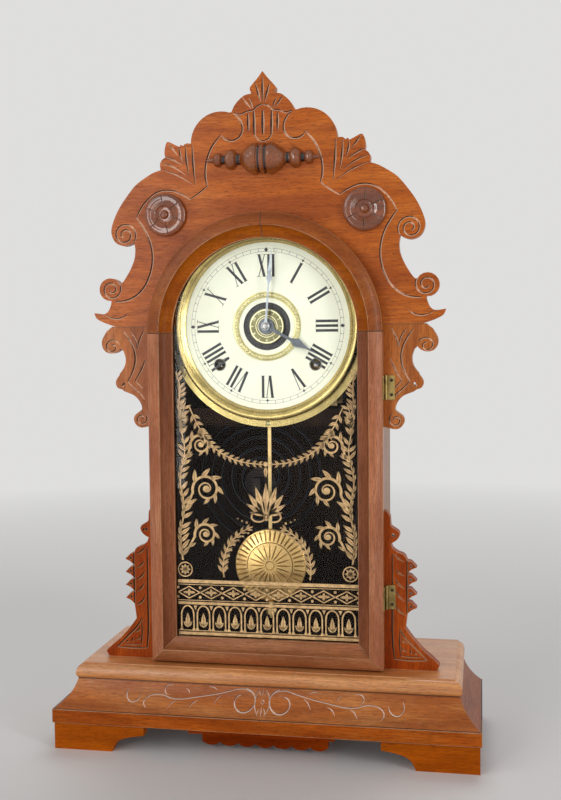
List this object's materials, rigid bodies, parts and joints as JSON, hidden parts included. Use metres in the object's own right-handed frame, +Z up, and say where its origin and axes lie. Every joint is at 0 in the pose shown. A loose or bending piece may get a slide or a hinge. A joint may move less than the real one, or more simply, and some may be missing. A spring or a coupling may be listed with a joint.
{
  "type": "shelf clock",
  "caption": "Walnut parlour shelf clock with a carved crest, scrolled brackets, an arched glazed door, a round dial, and a spring-driven movement with pendulum and gong.",
  "frame": {"origin": "centre of the bounding box's bottom face, on the shelf under the clock", "axes": "+Z up, +X to the viewer's right, front faces -Y"},
  "size_m": [0.351, 0.134, 0.554],
  "materials": {
    "walnut": "oiled and varnished walnut with carved lines",
    "dark_walnut": "turned, near-black stain and varnish",
    "inner_wood": "plain sawn softwood",
    "glass": "clear, with a gilt stencilled pattern on its lower part",
    "dial_white": "satin white with black numerals",
    "blued_steel": "dark spring steel",
    "cast_iron": "black painted",
    "black_iron": "black, worn",
    "steel": "plain steel",
    "brass": "aged brass"
  },
  "bodies": {
    "case": {"feet_front": "walnut", "feet_side": "walnut", "band_front": "walnut", "band_sides": "walnut", "base_back_rail": "inner_wood", "apron_strip": "walnut", "apron": "walnut", "frieze_front": "walnut", "frieze_sides": "walnut", "deck": "walnut", "case_sides": "walnut", "case_top": "walnut", "backboard": "inner_wood", "crest_board": "walnut", "rosettes": "dark_walnut", "split_spindle": "dark_walnut", "upper_brackets": "walnut", "lower_brackets": "walnut", "dial_supports": "inner_wood", "dial_pan": "brass", "dial_face": "dial_white", "bezel": "brass", "dial_trim": "brass", "plate_front": "brass", "plate_back": "brass", "pillars": "brass", "mainsprings": "blued_steel", "gong_coil": "blued_steel", "gong_post": "cast_iron", "hinge_fixed_leaves": "brass"},
    "door": {"door_stiles": "walnut", "door_arches": "walnut", "door_bottom_rail": "walnut", "door_glass": "glass", "glass_strips": "inner_wood", "hinge_door_leaves": "brass", "door_keeper": "brass"},
    "catch": {"latch_knob": "black_iron", "latch_tongue": "brass"},
    "pendulum": {"pendulum_rod": "brass", "pendulum_bob": "brass", "rating_nut": "brass"},
    "verge": {"verge": "steel"},
    "minute_arbor": {"minute_arbor": "brass", "minute_hand": "steel"},
    "hour_pipe": {"hour_wheel": "brass", "hour_hand": "steel"},
    "alarm_disc": {"alarm_disc": "brass"},
    "minute_wheel": {"minute_wheel": "brass"},
    "going_great_wheel": {"going_great_wheel": "brass"},
    "going_winding_arbor": {"going_winding_arbor": "steel"},
    "going_second_arbor": {"going_second_arbor": "brass"},
    "third_arbor": {"third_arbor": "brass"},
    "escape_arbor": {"escape_arbor": "brass"},
    "strike_great_wheel": {"strike_great_wheel": "brass"},
    "strike_winding_arbor": {"strike_winding_arbor": "steel"},
    "strike_second_arbor": {"strike_second_arbor": "brass"},
    "warning_arbor": {"warning_arbor": "brass"},
    "fly": {"fly": "brass"},
    "hammer": {"hammer": "steel"}
  },
  "joints": [
    {"name": "door_hinge", "type": "hinge", "parent": "case", "child": "door", "pos_m": [0.0988, -0.0288, 0.21305], "axis": [0, 0, 1], "range_deg": [0, 95]},
    {"name": "catch_turn", "type": "hinge", "parent": "case", "child": "catch", "pos_m": [-0.094, -0.01, 0.2367], "axis": [-1, 0, 0], "range_deg": [0, 40]},
    {"name": "pendulum_swing", "type": "hinge", "parent": "case", "child": "pendulum", "pos_m": [0, -0.012, 0.394], "axis": [0, 1, 0], "range_deg": [-4.5, 4.5]},
    {"name": "verge_rock", "type": "hinge", "parent": "case", "child": "verge", "pos_m": [0, -0.012, 0.394], "axis": [0, 1, 0], "range_deg": [-4.5, 4.5]},
    {"name": "minute_turn", "type": "hinge", "parent": "case", "child": "minute_arbor", "pos_m": [0, 0.0142, 0.3485], "axis": [0, 1, 0], "continuous": true},
    {"name": "hour_turn", "type": "hinge", "parent": "case", "child": "hour_pipe", "pos_m": [0, 0.0142, 0.3485], "axis": [0, 1, 0], "continuous": true},
    {"name": "alarm_set", "type": "hinge", "parent": "hour_pipe", "child": "alarm_disc", "pos_m": [0, 0.0142, 0.3485], "axis": [0, 1, 0], "continuous": true},
    {"name": "minute_wheel_turn", "type": "hinge", "parent": "case", "child": "minute_wheel", "pos_m": [-0.00983, 0.0142, 0.34162], "axis": [0, 1, 0], "continuous": true},
    {"name": "going_second_turn", "type": "hinge", "parent": "case", "child": "going_second_arbor", "pos_m": [0.02936, 0.0142, 0.34403], "axis": [0, 1, 0], "continuous": true},
    {"name": "going_great_turn", "type": "hinge", "parent": "case", "child": "going_great_wheel", "pos_m": [0.0403, 0.0142, 0.3169], "axis": [0, 1, 0], "continuous": true},
    {"name": "going_winding_turn", "type": "hinge", "parent": "case", "child": "going_winding_arbor", "pos_m": [0.0403, 0.0142, 0.3169], "axis": [0, 1, 0], "continuous": true},
    {"name": "third_turn", "type": "hinge", "parent": "case", "child": "third_arbor", "pos_m": [0.01593, 0.0142, 0.36523], "axis": [0, 1, 0], "continuous": true},
    {"name": "escape_turn", "type": "hinge", "parent": "case", "child": "escape_arbor", "pos_m": [0, 0.0142, 0.377], "axis": [0, 1, 0], "continuous": true},
    {"name": "strike_great_turn", "type": "hinge", "parent": "case", "child": "strike_great_wheel", "pos_m": [-0.0403, 0.0142, 0.3169], "axis": [0, 1, 0], "continuous": true},
    {"name": "strike_winding_turn", "type": "hinge", "parent": "case", "child": "strike_winding_arbor", "pos_m": [-0.0403, 0.0142, 0.3169], "axis": [0, 1, 0], "continuous": true},
    {"name": "strike_second_turn", "type": "hinge", "parent": "case", "child": "strike_second_arbor", "pos_m": [-0.02936, 0.0142, 0.34403], "axis": [0, 1, 0], "continuous": true},
    {"name": "warning_turn", "type": "hinge", "parent": "case", "child": "warning_arbor", "pos_m": [-0.02041, 0.0142, 0.36413], "axis": [0, 1, 0], "continuous": true},
    {"name": "fly_turn", "type": "hinge", "parent": "case", "child": "fly", "pos_m": [-0.03145, 0.0142, 0.37639], "axis": [0, 1, 0], "continuous": true},
    {"name": "hammer_lift", "type": "hinge", "parent": "case", "child": "hammer", "pos_m": [-0.004, 0.0142, 0.288], "axis": [0, 1, 0], "range_deg": [0, 12]}
  ],
  "couplings": [
    {"joint": "verge_rock", "follows": "pendulum_swing", "ratio": 1},
    {"joint": "minute_wheel_turn", "follows": "minute_turn", "ratio": -0.33333},
    {"joint": "hour_turn", "follows": "minute_turn", "ratio": 0.083333},
    {"joint": "going_second_turn", "follows": "minute_turn", "ratio": -0.5},
    {"joint": "going_great_turn", "follows": "minute_turn", "ratio": 0.076923},
    {"joint": "third_turn", "follows": "minute_turn", "ratio": -10},
    {"joint": "escape_turn", "follows": "minute_turn", "ratio": 100},
    {"joint": "strike_second_turn", "follows": "strike_great_turn", "ratio": -6.5},
    {"joint": "warning_turn", "follows": "strike_great_turn", "ratio": 58.5},
    {"joint": "fly_turn", "follows": "strike_great_turn", "ratio": -585}
  ]
}
